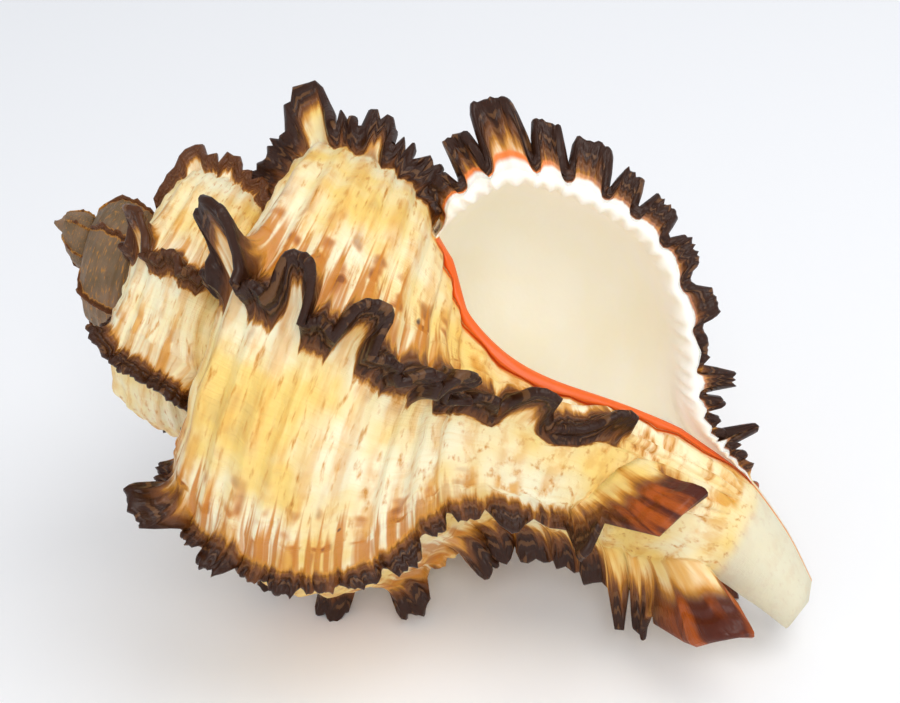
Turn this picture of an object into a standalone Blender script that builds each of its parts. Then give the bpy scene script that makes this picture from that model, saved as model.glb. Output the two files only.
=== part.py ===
"""Endive murex shell: one spirally grown shell with frilled varices and an open mouth.

The shell is described in its own growing frame, in millimetres. The z axis is the coiling axis, from
the spire to the siphonal canal, and angles turn in the growing direction. A point of the wall is given
by its age, in whorls back from the lip, and by a place s along the section of the whorl: 0 at the
suture, 2 at the shoulder, about 3 at the widest part, 6 at the neck and 9 at the tip of the canal.
"""
import math
import random

import bpy
from mathutils import Euler, Vector

MM = 0.001

# Driving dimensions of the coil
SECTION_AT_LIP = (
    (17.3, 43.5), (21.4, 44.0), (26.4, 47.7), (28.0, 55.5), (26.6, 63.6),
    (20.5, 70.1), (10.2, 75.2), (5.8, 82.0), (4.2, 88.5), (2.9, 93.4))
SHOULDER = 2
RADIAL_GROWTH = 1.214
RADIAL_CURL = 0.1125
# The coil is narrower at some ages, each given as age, share and spread
WAISTS = ((0.48, 0.06, 0.22), (1.47, 0.13, 0.20))
AXIAL_GROWTH = 1.709
AXIAL_CURL = -0.031
NECK_SLOWING = 0.44
NECK_SWELLING = 0.29
LIP_ANGLE = math.radians(300.0)
SUTURE_S = 4.6
WELD_S = 7.2
TIP_S = 9.0
APEX_HEIGHT = 8.2
CANAL_END_DOME = 0.8

# The neck and canal stand off the coiling axis, on the side of the mouth
CANAL_SIDE = (0.0, 0.0, 0.0, 0.0, 0.0, 0.0, -2.6, -3.9, -2.5, -0.8)
CANAL_BEND = (0.0, 0.0, 0.0, 0.0, 0.0, 0.0, 0.8, 0.8, -0.6, -2.6)

# Varices and frills
VARICES_PER_WHORL = 6
OLDEST_VARIX = 20
FRILL_HEIGHT = 6.4
FRILL_UNEVENNESS = 0.22
FRILL_THICKNESS = 1.25
BACKWARD_LEAN = 0.28
CORD_RELIEF = 0.3
BACK_FOOT = 4.6
FRONT_FOOT = 1.3
SWELLING = 0.7
FRONT_SWELLING = 0.35
# Each spiral cord: its place s, and the height of its lobe as a share of FRILL_HEIGHT
CORDS = (
    (0.85, 0.24), (1.45, 0.34), (2.02, 1.0), (2.50, 0.46), (2.93, 0.66), (3.36, 0.46), (3.78, 0.60),
    (4.20, 0.46), (4.84, 0.52), (5.22, 0.66), (5.58, 0.40), (5.86, 0.52), (6.08, 0.60), (6.27, 0.36),
    (6.42, 0.56), (6.55, 0.46), (6.68, 0.42), (6.98, 0.40))
# Cords whose lobe is only a point
NARROW_CORDS = (0, 11, 12, 13)
# Half the width of a lobe's rim in s: at most this, and at most this share of the way to its neighbour
LOBE_HALF_WIDTH = 0.14
LOBE_SHARE = 0.48
LOBE_TAPER = 0.62
# Heights of the lobes on the varices of the mouth's side, cord by cord
SEEN_LOBES = {
    0: (2.8, 5.0, 7.2, 5.0, 4.2, 3.2, 2.8, 2.4, 2.8, 1.2, 3.6, 2.4, 1.4, 1.2, 3.8, 1.4, 1.2, 1.0),
    3: (1.7, 1.4, 4.9, 1.2, 4.6, 1.2, 4.6, 1.2, 4.4, 1.6, 5.0, 4.4, 4.4, 4.6, 4.8, 8.6, 8.0, 8.0),
    4: (1.0, 2.2, 5.2, 2.0, 3.4, 1.9, 2.3, 1.8, 2.2, 2.8, 2.0, 1.9, 2.6, 1.2, 4.8, 6.6, 0.6, 0.4),
    5: (1.4, 2.8, 7.4, 3.0, 5.2, 2.9, 4.8, 3.0, 3.6, 4.4, 2.6, 3.0, 4.6, 1.2, 3.4, 0.3, 0.2, 0.2),
    6: (3.4, 3.6, 6.6, 3.2, 4.2, 2.8, 3.0, 2.4),
    8: (0.6, 0.8, 1.2, 1.0, 1.2, 1.0, 1.0, 0.8),
    9: (0.6, 0.8, 1.4, 1.0, 1.2, 1.0, 1.2, 0.8),
    10: (0.8, 1.2, 2.6, 1.6, 2.2, 1.6, 2.0, 1.4),
    11: (1.0, 1.6, 3.6, 1.8, 2.4, 2.0, 2.4, 1.8),
    12: (1.0, 1.4, 2.6, 1.8, 2.2, 1.6, 1.8, 1.4),
}
NECK_GAIN = {1: 1.3, 2: 1.3}
# Height of the webs between the lobes, on the body and at the neck
WEB_HEIGHT = (2.4, 0.9)
WEBS = {0: (0.9, 0.5), 3: (1.2, 4.4), 4: (1.3, 0.7), 5: (3.0, 0.8), 6: (2.6, 1.0)}
# Each tall lobe is a hood, open to the front, and the web between two hoods folds forward
HOOD_DEPTH = 2.9
HOOD_DEPTHS = {0: 1.3, 3: 1.4, 4: 1.5}
HOOD_GAIN = 1.7
HOOD_START = 3.3
WEB_FOLD = 1.5
FROND_HOOD = 1.6
SPINE_TILT = {0: 0.62}
COMMON_TILT = 0.4
# The last lobe before the canal is a long frond: from and to which place, its height and direction
FRONDS = {
    1: (6.86, 7.18, 3.6, (0.72, 0.70)), 2: (6.86, 7.18, 9.0, (0.72, 0.70)),
    3: (6.86, 7.18, 7.8, (0.60, 0.80)), 4: (6.50, 6.66, 6.4, (0.42, 0.91))}
VARIX_DRIFT = {3: 14.0, 4: 15.0, 5: 6.0, 6: -6.0, 10: -10.0, 11: 7.0, 12: -2.0, 16: 3.0, 18: 9.0}
# Where the neck runs into the canal, the varices turn back: from and to which place, and how far
NECK_DRIFT = {3: (6.72, 7.02, -42.0), 4: (6.40, 6.64, -58.0), 5: (6.1, 6.5, -22.0)}

# The mouth
WALL = 1.6
RIM = 1.1
MOUTH_LAYERS = (-5.0, -14.0, -30.0, -54.0, -84.0, -120.0, -160.0, -200.0)
# How far the inner lip lies ahead of the outer lip, in radians, and how that fades inside the mouth
INNER_LIP_LEAD = 0.57
INNER_LIP_MIDDLE = 6.1
INNER_LIP_SPREAD = 0.42
LEAD_INSIDE = (0.96, 0.70, 0.40, 0.16, 0.04)
# Inside, the columella is slimmer than the neck, and stands on the coiling axis
COLUMELLA_SLIMNESS = 0.38
CALLUS = 0.9
# The mouth's inside narrows into the canal from this place on, and ends there at this place
NARROWING_S = 5.0
INSIDE_END_S = 6.15
# Share of the gap between the mouth's two walls that each lining may take
LINING_SHARE = 0.3

# How the shell lies on the table
LIE = Euler([math.radians(a) for a in (-128.1, -47.7, -83.4)])
ORIGIN = Vector((-43.26, 12.42, 45.33))

SHELL_COLOUR = (0.86, 0.72, 0.50, 1.0)
SHELL_ROUGHNESS = 0.45
SHARP_EDGE = math.radians(50.0)
SEED = 7


def ease(x):
    """Smooth step from 0 to 1."""
    x = min(1.0, max(0.0, x))
    return x * x * (3.0 - 2.0 * x)


def blend(a, b, share):
    return a + (b - a) * share


def spline(values, s):
    """Catmull-Rom value at place s of a list with one value for each whole s."""
    last = len(values) - 1
    i = min(last - 1, max(0, int(s)))
    t = s - i
    a = values[max(0, i - 1)]
    b, c = values[i], values[i + 1]
    d = values[min(last, i + 2)]
    return 0.5 * (2.0 * b + (c - a) * t + (2.0 * a - 5.0 * b + 4.0 * c - d) * t * t
                  + (3.0 * b - a - 3.0 * c + d) * t ** 3)


def radial_growth(n):
    waist = sum(share * math.exp(-((n - age) / spread) ** 2) for age, share, spread in WAISTS)
    return (1.0 - waist) * RADIAL_GROWTH ** -n * math.exp(-RADIAL_CURL * n * n)


def axial_growth(n):
    return AXIAL_GROWTH ** -n * math.exp(-AXIAL_CURL * n * n)


def lower_section(n, s):
    """Section at age n from the shoulder down, as radius and height."""
    radius = spline([p[0] for p in SECTION_AT_LIP], s)
    height = spline([p[1] for p in SECTION_AT_LIP], s)
    neck = ease((s - 4.5) / 3.0)
    growth = radial_growth(n)
    shoulder_height = SECTION_AT_LIP[SHOULDER][1]
    small_radius = radius * growth ** (1.0 + NECK_SWELLING * neck)
    small_height = (shoulder_height * axial_growth(n)
                    + (height - shoulder_height) * growth ** (1.0 - NECK_SLOWING * neck))
    canal = ease((s - 5.6) / (WELD_S - 5.6))
    return blend(small_radius, radius, canal), blend(small_height, height, canal)


def section(n, s):
    """Section of the whorl at age n: above the shoulder it climbs onto the whorl before it."""
    if s >= SHOULDER:
        return lower_section(n, s)
    suture = lower_section(n + 1.0, SUTURE_S)
    shoulder = lower_section(n, float(SHOULDER))
    below = lower_section(n, SHOULDER + 1.0)
    middle = (blend(suture[0], shoulder[0], 0.5), blend(suture[1], shoulder[1], 0.12))
    return tuple(spline([suture[i], middle[i], shoulder[i], below[i]], s) for i in range(2))


def outward(n, s):
    """Unit direction away from the wall, in the plane of the section."""
    before = section(n, max(0.02, s) - 0.02)
    after = section(n, s + 0.02)
    dr, dz = after[0] - before[0], after[1] - before[1]
    size = math.hypot(dr, dz)
    return dz / size, -dr / size


def inner_lip_lead(s):
    """How far the inner lip lies ahead at place s, in whorls."""
    return INNER_LIP_LEAD * math.exp(-((s - INNER_LIP_MIDDLE) / INNER_LIP_SPREAD) ** 2) / (2.0 * math.pi)


def place(n, s, height=0.0, direction=None, slim=0.0):
    """Point of the wall at age n and place s, raised by height, in millimetres."""
    radius, z = section(n, s)
    slim *= ease((s - SUTURE_S) / 1.2)
    radius *= 1.0 - COLUMELLA_SLIMNESS * slim
    if height:
        dr, dz = direction or outward(n, s)
        radius += height * dr
        z += height * dz
    angle = LIP_ANGLE - 2.0 * math.pi * n
    side = 1.0 - slim
    return Vector((radius * math.cos(angle) + side * spline(CANAL_BEND, s),
                   radius * math.sin(angle) + side * spline(CANAL_SIDE, s), z))


def column_places():
    """Places s of the grid's columns, with the role and the cord of each."""
    columns = [(0.0, "edge", 0)]
    for i, (s, share) in enumerate(CORDS):
        before = CORDS[i - 1][0] if i else 0.3
        after = CORDS[i + 1][0] if i + 1 < len(CORDS) else WELD_S
        if before < SUTURE_S < s:
            columns.append((SUTURE_S, "edge", i))
        elif i:
            columns.append(((before + s) / 2.0, "web", i))
        if i in NARROW_CORDS:
            columns.append((s, "lobe", i))
            continue
        half = min(0.24 * min(s - before, after - s) * 2.0, LOBE_HALF_WIDTH)
        columns.append((s - half, "lobe", i))
        columns.append((s + half, "lobe", i))
    columns.append((WELD_S, "edge", len(CORDS) - 1))
    columns += [(s, "canal", 0) for s in (7.6, 8.1, 8.6, TIP_S)]
    return columns


COLUMNS = column_places()
SUTURE_COLUMN = next(j for j, c in enumerate(COLUMNS) if c[0] == SUTURE_S)
WELD_COLUMN = next(j for j, c in enumerate(COLUMNS) if c[0] == WELD_S)
# Rows of a varix: two of plain wall, the frill's back foot, the two edges of its rim, and its front foot
PLAIN_SHARES = (1.0 / 3.0, 2.0 / 3.0)
FRILL_DEGREES = (-9.0, -3.0, -1.0, 2.0)
LAST_ROW = len(PLAIN_SHARES) + len(FRILL_DEGREES) - 1


def frill_size(varix):
    """Size of a varix against the newest ones: the spire's are smaller and worn."""
    n = varix / VARICES_PER_WHORL
    worn = 1.0 - 0.75 * ease((n - 1.8) / 0.6)
    return worn * min(1.0, (radial_growth(n) / radial_growth(0.9)) ** 0.75)


def lobe_heights():
    """Height of each cord's lobe on each varix, with the unevenness of growth."""
    rng = random.Random(SEED)
    heights = {}
    for varix in range(OLDEST_VARIX + 2):
        seen = SEEN_LOBES.get(varix, ())
        for cord, (s, share) in enumerate(CORDS):
            uneven = 1.0 + FRILL_UNEVENNESS * rng.uniform(-1.0, 1.0)
            uneven *= NECK_GAIN.get(varix, 1.0) if s > 5.0 else 1.0
            heights[varix, cord] = FRILL_HEIGHT * share * uneven * frill_size(varix)
            if cord < len(seen):
                heights[varix, cord] = seen[cord]
    return heights


LOBES = lobe_heights()


def frill_top(varix):
    """Place where a varix ends: under the next whorl, or at the canal."""
    return SUTURE_S if varix >= VARICES_PER_WHORL else WELD_S


def line(varix, s):
    """Age of a varix at place s. At the neck it turns back."""
    drift = VARIX_DRIFT.get(varix, 0.0) * ease(s / 1.2) * ease((frill_top(varix) - s) / 1.2)
    if varix in NECK_DRIFT:
        start, end, degrees = NECK_DRIFT[varix]
        drift += degrees * ease((s - start) / (end - start))
    return varix / VARICES_PER_WHORL - drift / 360.0


class Frill:
    """The frill of one varix at one column of the grid."""

    def __init__(self, varix, column):
        s, role, cord = COLUMNS[column]
        self.varix = varix
        self.s = s
        self.line = line(varix, s)
        self.size = frill_size(varix)
        self.relief = CORD_RELIEF * self.size if role == "lobe" else 0.0
        self.fade = ease(s / 0.7) * ease((frill_top(varix) - s) / 0.35)
        neck = ease((s - 4.9) / 0.7)
        lobe = LOBES[varix, cord]
        web = min(blend(*WEBS.get(varix, WEB_HEIGHT), neck) * self.size, 0.8 * lobe)
        most = HOOD_DEPTHS.get(varix, HOOD_DEPTH)
        fold = WEB_FOLD * most / HOOD_DEPTH
        hood = min(most, max(-0.8 * fold, HOOD_GAIN * (lobe / self.size - HOOD_START)))
        self.widening = blend(LOBE_TAPER, 1.1, ease(hood / 2.0))
        dr, dz = outward(self.line, s)
        dz -= SPINE_TILT.get(varix, COMMON_TILT) * math.exp(-((s - 2.3) / 0.8) ** 2)
        dz += 0.5 * ease((s - 5.4) / 1.2)
        self.height = {"lobe": lobe, "web": web}.get(role, 0.0)
        self.flute = {"lobe": -hood, "web": fold}.get(role, 0.0) * self.size * (1.0 - 0.35 * neck)
        frond = FRONDS.get(varix)
        if frond and frond[0] < s < frond[1]:
            self.fade = 1.0
            self.height = frond[2]
            self.flute = -FROND_HOOD
            dr, dz = frond[3]
        self.height *= self.fade
        self.flute *= self.fade
        self.cord_place = CORDS[cord][0] if role == "lobe" else s
        length = math.hypot(dr, dz)
        self.direction = (dr / length, dz / length)
        self.stand()

    def stand(self):
        """Directions of the frill's height and of its back, and the middle of its foot and rim."""
        angle = LIP_ANGLE - 2.0 * math.pi * self.line
        dr, dz = self.direction
        self.up = Vector((dr * math.cos(angle), dr * math.sin(angle), dz))
        along = place(line(self.varix, self.s + 0.02), self.s + 0.02)
        along -= place(line(self.varix, self.s - 0.02), self.s - 0.02)
        self.behind = -along.cross(self.up).normalized()
        ahead = Vector((-math.sin(angle), math.cos(angle), 0.0))
        step = (place(self.line, self.s + 0.01) - place(self.line, self.s - 0.01)) / 0.02
        turned = self.behind.dot(ahead)
        slid = self.behind.dot(step) / step.length
        whole = math.hypot(turned, slid)
        self.turned = turned / whole
        self.slid = slid / whole / step.length
        self.base = place(self.line, self.s) - self.behind * 0.45 * self.flute
        moved = self.cord_place + self.widening * (self.s - self.cord_place)
        self.rim = place(line(self.varix, moved), moved, self.height, self.direction)
        self.rim += self.behind * (BACKWARD_LEAN * self.height - self.flute)

    def foot(self, front):
        """Age and slide in s of the frill's back or front foot."""
        radius = max(section(self.line, self.s)[0], 3.0)
        if front:
            distance = -FRONT_FOOT * self.size - 0.6 * self.flute
            degrees = FRILL_DEGREES[-1]
        else:
            distance = BACK_FOOT * self.size * min(1.0, radius / 16.0) - 0.3 * self.flute
            degrees = FRILL_DEGREES[0]
        age = -distance * self.turned / radius / (2.0 * math.pi)
        return self.line + blend(-degrees / 360.0, age, self.fade), self.fade * distance * self.slid


def frills(varix):
    return [Frill(varix, column) for column in range(len(COLUMNS))]


def plain_rows(varix):
    """Rows of plain wall between the older varix and this one."""
    rows = []
    pairs = list(zip(frills(varix + 1), frills(varix)))
    for share in PLAIN_SHARES:
        row = []
        for older, newer in pairs:
            start, old_slide = older.foot(front=True)
            end, new_slide = newer.foot(front=False)
            if varix == VARICES_PER_WHORL - 1 and newer.s > SUTURE_S:
                start -= inner_lip_lead(newer.s)
            slide = old_slide * (1.0 - share) ** 3 + new_slide * share ** 3
            row.append(place(blend(start, end, share), newer.s + slide, newer.relief + 0.001))
        rows.append(row)
    return rows


def frill_rows(varix):
    """Rows over a varix: its back foot, the back and the front edge of its rim, and its front foot."""
    columns = frills(varix)
    rows = [[], [], [], []]
    for j, frill in enumerate(columns):
        before = columns[max(0, j - 1)].rim
        after = columns[min(len(columns) - 1, j + 1)].rim
        rise = (frill.rim - frill.base + 0.5 * frill.up).normalized()
        facing = -(after - before).cross(rise).normalized()
        half = 0.5 * FRILL_THICKNESS * frill.size ** 0.5
        back_age, back_slide = frill.foot(front=False)
        front_age, front_slide = frill.foot(front=True)
        points = (
            place(back_age, frill.s + back_slide, frill.relief + SWELLING * frill.size * frill.fade),
            frill.rim + facing * half,
            frill.rim - facing * half - rise * 0.04 * frill.height,
            place(front_age, frill.s + front_slide, FRONT_SWELLING * frill.size * frill.fade))
        for row, degrees, point in zip(rows, FRILL_DEGREES, points):
            age = frill.line - degrees / 360.0
            if varix == VARICES_PER_WHORL and row is rows[-1] and frill.s > SUTURE_S:
                age -= inner_lip_lead(frill.s)
            row.append(place(age, frill.s, frill.relief * frill.fade).lerp(point, frill.fade))
    return rows


class Skin:
    """Vertices and faces of the shell while it is put together."""

    def __init__(self):
        self.points = []
        self.faces = []

    def add(self, point):
        self.points.append(point)
        return len(self.points) - 1

    def band(self, first, second):
        """Quads between two rows of the same length."""
        for j in range(len(first) - 1):
            corners = [first[j], first[j + 1], second[j + 1], second[j]]
            kept = [c for i, c in enumerate(corners) if c not in corners[:i]]
            if len(kept) > 2:
                self.faces.append(kept)

    def fan(self, ring, centre):
        """Triangles from a closed ring to one point."""
        for j, corner in enumerate(ring):
            self.faces.append([corner, ring[(j + 1) % len(ring)], centre])


def outer_wall(skin):
    """Rows of the outer wall, oldest first. Neighbouring whorls share the points of their suture."""
    rows = {}
    inner_lip = (VARICES_PER_WHORL, LAST_ROW)
    before = None
    for varix in range(OLDEST_VARIX, -1, -1):
        for row, points in enumerate(plain_rows(varix) + frill_rows(varix)):
            key = (varix, row)
            in_last_whorl = varix < VARICES_PER_WHORL or key == inner_lip
            older = rows.get((varix + VARICES_PER_WHORL, row))
            numbers = []
            for column, point in enumerate(points if in_last_whorl else points[:SUTURE_COLUMN + 1]):
                if column == 0 and older:
                    numbers.append(older[SUTURE_COLUMN])
                elif key == (0, LAST_ROW) and column >= WELD_COLUMN:
                    numbers.append(rows[inner_lip][column])
                else:
                    numbers.append(skin.add(point * MM))
            rows[key] = numbers
            if before:
                shared = min(len(before), len(numbers))
                skin.band(numbers[:shared], before[:shared])
            before = numbers
    return rows


def close_ends(skin, rows):
    """Worn tip of the spire and rounded tip of the canal."""
    order = list(rows)
    first_whorl = [key for key in order if key[0] > OLDEST_VARIX - VARICES_PER_WHORL]
    ring = [rows[key][0] for key in first_whorl]
    ring += [rows[order[0]][column] for column in range(SUTURE_COLUMN, 0, -1)]
    tip = skin.add(Vector((0.0, 0.0, APEX_HEIGHT)) * MM)
    skin.fan(ring[::-1], tip)
    last_whorl = order[order.index((VARICES_PER_WHORL, LAST_ROW)):-1]
    end = [rows[key][-1] for key in last_whorl]
    centre = sum((skin.points[i] for i in end), Vector()) / len(end)
    skin.fan(end, skin.add(centre + Vector((0.0, 0.0, CANAL_END_DOME)) * MM))


def mouth_section(degrees, outer_places, inner_places, depth):
    """Closed ring of points inside the mouth, in one plane through the coiling axis."""
    n = -degrees / 360.0
    slim = ease(depth / 3.0)
    end = blend(WELD_S, INSIDE_END_S, slim)
    squeeze = (end - NARROWING_S) / (WELD_S - NARROWING_S)
    lead = LEAD_INSIDE[depth] if depth < len(LEAD_INSIDE) else 0.0

    def fitted(s):
        return s if s < NARROWING_S else NARROWING_S + (s - NARROWING_S) * squeeze

    def lining(m, s, inset, thin, others):
        point = place(m, s, slim=thin)
        gap = min((point - other).length for other in others)
        return place(m, s, math.copysign(min(abs(inset), LINING_SHARE * gap), inset), slim=thin)

    outer = [(n, fitted(s)) for s in outer_places]
    inner = [(n + 1.0 - lead * inner_lip_lead(fitted(s)), fitted(s)) for s in inner_places]
    outer_points = [place(m, s) for m, s in outer]
    inner_points = [place(m, s, slim=slim) for m, s in inner]
    wall = WALL if depth else RIM
    outer_ring = [lining(m, s, -wall, 0.0, inner_points) for m, s in outer]
    inner_ring = [lining(m, s, CALLUS, slim, outer_points) for m, s in inner]
    suture = 0.5 * (outer_ring[0] + inner_ring[-1])
    suture += 0.04 * (place(n, 0.0) - suture)
    front = 0.5 * (outer_ring[-1] + inner_ring[0])
    return [suture] + outer_ring + [front] + inner_ring


def mouth(skin, rows):
    """Inside of the mouth, back from the lip for more than half a whorl."""
    lip = rows[0, LAST_ROW][:WELD_COLUMN + 1]
    inner_lip = rows[VARICES_PER_WHORL, LAST_ROW][SUTURE_COLUMN + 1:WELD_COLUMN]
    ring = lip + inner_lip[::-1]
    outer_places = [COLUMNS[j][0] for j in range(1, WELD_COLUMN)]
    inner_places = [COLUMNS[j][0] for j in range(WELD_COLUMN - 1, SUTURE_COLUMN, -1)]
    for depth, degrees in enumerate((FRILL_DEGREES[-1],) + MOUTH_LAYERS):
        points = mouth_section(degrees, outer_places, inner_places, depth)
        inside = [skin.add(point * MM) for point in points]
        skin.band(inside + inside[:1], ring + ring[:1])
        ring = inside
    centre = sum((skin.points[i] for i in ring), Vector()) / len(ring)
    skin.fan(ring[::-1], skin.add(centre))


def shell_material():
    material = bpy.data.materials.new("shell")
    material.use_nodes = True
    shader = material.node_tree.nodes["Principled BSDF"]
    shader.inputs["Base Color"].default_value = SHELL_COLOUR
    shader.inputs["Roughness"].default_value = SHELL_ROUGHNESS
    shader.inputs["Metallic"].default_value = 0.0
    return material


def make_shell(collection):
    skin = Skin()
    rows = outer_wall(skin)
    close_ends(skin, rows)
    mouth(skin, rows)
    mesh = bpy.data.meshes.new("shell")
    turn = LIE.to_matrix()
    mesh.from_pydata([turn @ point + ORIGIN * MM for point in skin.points], [], skin.faces)
    mesh.validate()
    mesh.shade_smooth()
    mesh.set_sharp_from_angle(angle=SHARP_EDGE)
    mesh.materials.append(shell_material())
    shell = bpy.data.objects.new("shell", mesh)
    collection.objects.link(shell)


def main():
    for old in list(bpy.data.objects):
        bpy.data.objects.remove(old)
    collection = bpy.data.collections.new("endive_murex_shell")
    bpy.context.scene.collection.children.link(collection)
    make_shell(collection)


main()
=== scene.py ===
"""Endive murex shell: its fine surface, colours, light and camera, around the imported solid.

The shell is described in its own growing frame, in millimetres, with the values that the solid has. The
z axis is the coiling axis, from the spire to the siphonal canal, and angles turn in the growing
direction. A point of the wall is given by its age n, in whorls back from the lip, and by a place s along
the section of the whorl: 0 at the suture, 2 at the shoulder, about 3 at the widest part, 6 at the neck
and 9 at the tip of the canal.
"""
import math
import random

import bpy
import numpy as np
from mathutils import Euler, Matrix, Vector


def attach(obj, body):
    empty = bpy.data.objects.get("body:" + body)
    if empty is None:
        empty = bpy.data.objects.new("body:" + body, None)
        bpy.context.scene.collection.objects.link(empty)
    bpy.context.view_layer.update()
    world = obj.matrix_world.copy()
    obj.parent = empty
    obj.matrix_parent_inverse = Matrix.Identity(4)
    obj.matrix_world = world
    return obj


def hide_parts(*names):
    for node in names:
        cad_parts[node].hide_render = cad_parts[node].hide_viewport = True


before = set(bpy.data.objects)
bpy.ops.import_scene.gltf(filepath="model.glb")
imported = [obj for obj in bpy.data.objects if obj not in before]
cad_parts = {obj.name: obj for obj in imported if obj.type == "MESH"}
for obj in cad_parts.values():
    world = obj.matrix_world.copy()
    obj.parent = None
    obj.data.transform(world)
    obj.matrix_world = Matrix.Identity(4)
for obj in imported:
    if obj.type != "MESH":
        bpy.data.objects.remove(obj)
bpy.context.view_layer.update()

MM = 0.001

# Driving dimensions of the coil, as in the solid
SECTION_AT_LIP = np.array((
    (17.3, 43.5), (21.4, 44.0), (26.4, 47.7), (28.0, 55.5), (26.6, 63.6),
    (20.5, 70.1), (10.2, 75.2), (5.8, 82.0), (4.2, 88.5), (2.9, 93.4)))
SHOULDER = 2
RADIAL_GROWTH = 1.214
RADIAL_CURL = 0.1125
# The coil is narrower at some ages, each given as age, share and spread
WAISTS = ((0.48, 0.06, 0.22), (1.47, 0.13, 0.20))
AXIAL_GROWTH = 1.709
AXIAL_CURL = -0.031
NECK_SLOWING = 0.44
NECK_SWELLING = 0.29
LIP_ANGLE = math.radians(300.0)
SUTURE_S = 4.6
WELD_S = 7.2
TIP_S = 9.0
APEX_HEIGHT = 7.4
CANAL_SIDE = (0.0, 0.0, 0.0, 0.0, 0.0, 0.0, -2.6, -3.9, -2.5, -0.8)
CANAL_BEND = (0.0, 0.0, 0.0, 0.0, 0.0, 0.0, 0.8, 0.8, -0.6, -2.6)

# Varices and frills
VARICES_PER_WHORL = 6
OLDEST_VARIX = 26
FRILL_HEIGHT = 6.4
FRILL_UNEVENNESS = 0.22
FRILL_THICKNESS = 0.95
BACKWARD_LEAN = 0.28
CORD_RELIEF = 0.30
BACK_FOOT = 4.6
FRONT_FOOT = 1.3
SWELLING = 0.7
FRONT_SWELLING = 0.35
# Each spiral cord: its place s, and the height of its lobe as a share of FRILL_HEIGHT
CORDS = (
    (0.85, 0.24), (1.45, 0.34), (2.02, 1.0), (2.50, 0.46), (2.93, 0.66), (3.36, 0.46), (3.78, 0.60),
    (4.20, 0.46), (4.84, 0.52), (5.22, 0.66), (5.58, 0.40), (5.86, 0.52), (6.08, 0.60), (6.27, 0.36),
    (6.42, 0.56), (6.55, 0.46), (6.68, 0.42), (6.98, 0.40))
# Heights of the frill's lobes on the varices that the camera sees, cord by cord, in millimetres
SEEN_LOBES = {
    0: (2.8, 5.0, 7.2, 5.0, 4.2, 3.2, 2.8, 2.4, 2.8, 1.2, 3.6, 2.4, 1.4, 1.2, 3.8, 1.4, 1.2, 1.0),
    3: (1.7, 1.4, 4.9, 1.2, 4.6, 1.2, 4.6, 1.2, 4.4, 1.6, 5.0, 4.4, 4.4, 4.6, 4.8, 8.6, 8.0, 8.0),
    4: (1.0, 2.2, 5.2, 2.0, 3.4, 1.9, 2.3, 1.8, 2.2, 2.8, 2.0, 1.9, 2.6, 1.2, 4.8, 6.6, 0.6, 0.4),
    5: (1.4, 2.8, 7.4, 3.0, 5.2, 2.9, 4.8, 3.0, 3.6, 4.4, 2.6, 3.0, 4.6, 1.2, 3.4, 0.3, 0.2, 0.2),
    6: (3.4, 3.6, 6.6, 3.2, 4.2, 2.8, 3.0, 2.4),
    8: (0.6, 0.8, 1.2, 1.0, 1.2, 1.0, 1.0, 0.8),
    9: (0.6, 0.8, 1.4, 1.0, 1.2, 1.0, 1.2, 0.8),
    10: (0.8, 1.2, 2.6, 1.6, 2.2, 1.6, 2.0, 1.4),
    11: (1.0, 1.6, 3.6, 1.8, 2.4, 2.0, 2.4, 1.8),
    12: (1.0, 1.4, 2.6, 1.8, 2.2, 1.6, 1.8, 1.4),
}
NECK_GAIN = {1: 1.3, 2: 1.3}
# Height of the webs between the lobes, on the body and at the neck
WEB_HEIGHT = (2.4, 0.9)
WEBS = {0: (0.9, 0.5), 3: (1.2, 4.4), 4: (1.3, 0.7), 5: (3.0, 0.8), 6: (2.6, 1.0)}
# How dark the webs are against the lobes
WEB_DARKNESS = {3: 0.25, 4: 0.6}
# Each tall lobe is a hood, open to the front, and the web between two hoods folds forward
HOOD_DEPTH = 2.9
HOOD_DEPTHS = {0: 1.3, 3: 1.4, 4: 1.5}
HOOD_GAIN = 1.7
HOOD_START = 3.3
WEB_FOLD = 1.5
FROND_HOOD = 1.6
# Varices whose tall lobes are broad paddles, not spines
BROAD_LOBES = (0, 3, 4)
BROAD_LOBE_POINT = 0.15
SPINE_TILT = {0: 0.62}
COMMON_TILT = 0.4
# The last lobe before the canal is a long frond: from and to which place, its height and direction
FRONDS = {
    1: (6.86, 7.18, 3.6, (0.72, 0.70)), 2: (6.86, 7.18, 9.0, (0.72, 0.70)),
    3: (6.86, 7.18, 7.8, (0.60, 0.80)), 4: (6.50, 6.66, 6.4, (0.42, 0.91))}
# How many degrees a varix lies ahead of its even place
VARIX_DRIFT = {3: 14.0, 4: 15.0, 5: 6.0, 6: -6.0, 10: -10.0, 11: 7.0, 12: -2.0, 16: 3.0, 18: 9.0}
# Where the neck runs into the canal, the varices turn back: from and to which place, and how far
NECK_DRIFT = {3: (6.72, 7.02, -42.0), 4: (6.40, 6.64, -58.0), 5: (6.1, 6.5, -22.0)}

# The mouth
WALL = 1.6
RIM = 1.1
# Turn of the places, back from the lip, where the mouth's depth is a whole number
MOUTH_DEPTHS = (2.0, -5.0, -14.0, -28.0, -46.0, -70.0, -98.0, -128.0, -160.0, -194.0, -228.0)
# How far the inner lip lies ahead of the outer lip, in radians, and how that fades with depth
INNER_LIP_LEAD = 0.57
INNER_LIP_MIDDLE = 6.1
INNER_LIP_SPREAD = 0.42
LEAD_INSIDE = (0.96, 0.70, 0.40, 0.16, 0.04, 0.0)
# Inside, the columella is slimmer than the neck, and stands on the coiling axis
COLUMELLA_SLIMNESS = 0.38
CALLUS = 0.9
# The mouth's inside narrows into the canal from this place on, and ends there at this place
NARROWING_S = 5.0
INSIDE_END_S = 6.15
# Share of the gap between the mouth's two walls that each lining may take
LINING_SHARE = 0.3
SCALLOP_DEPTH = 0.30

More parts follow.
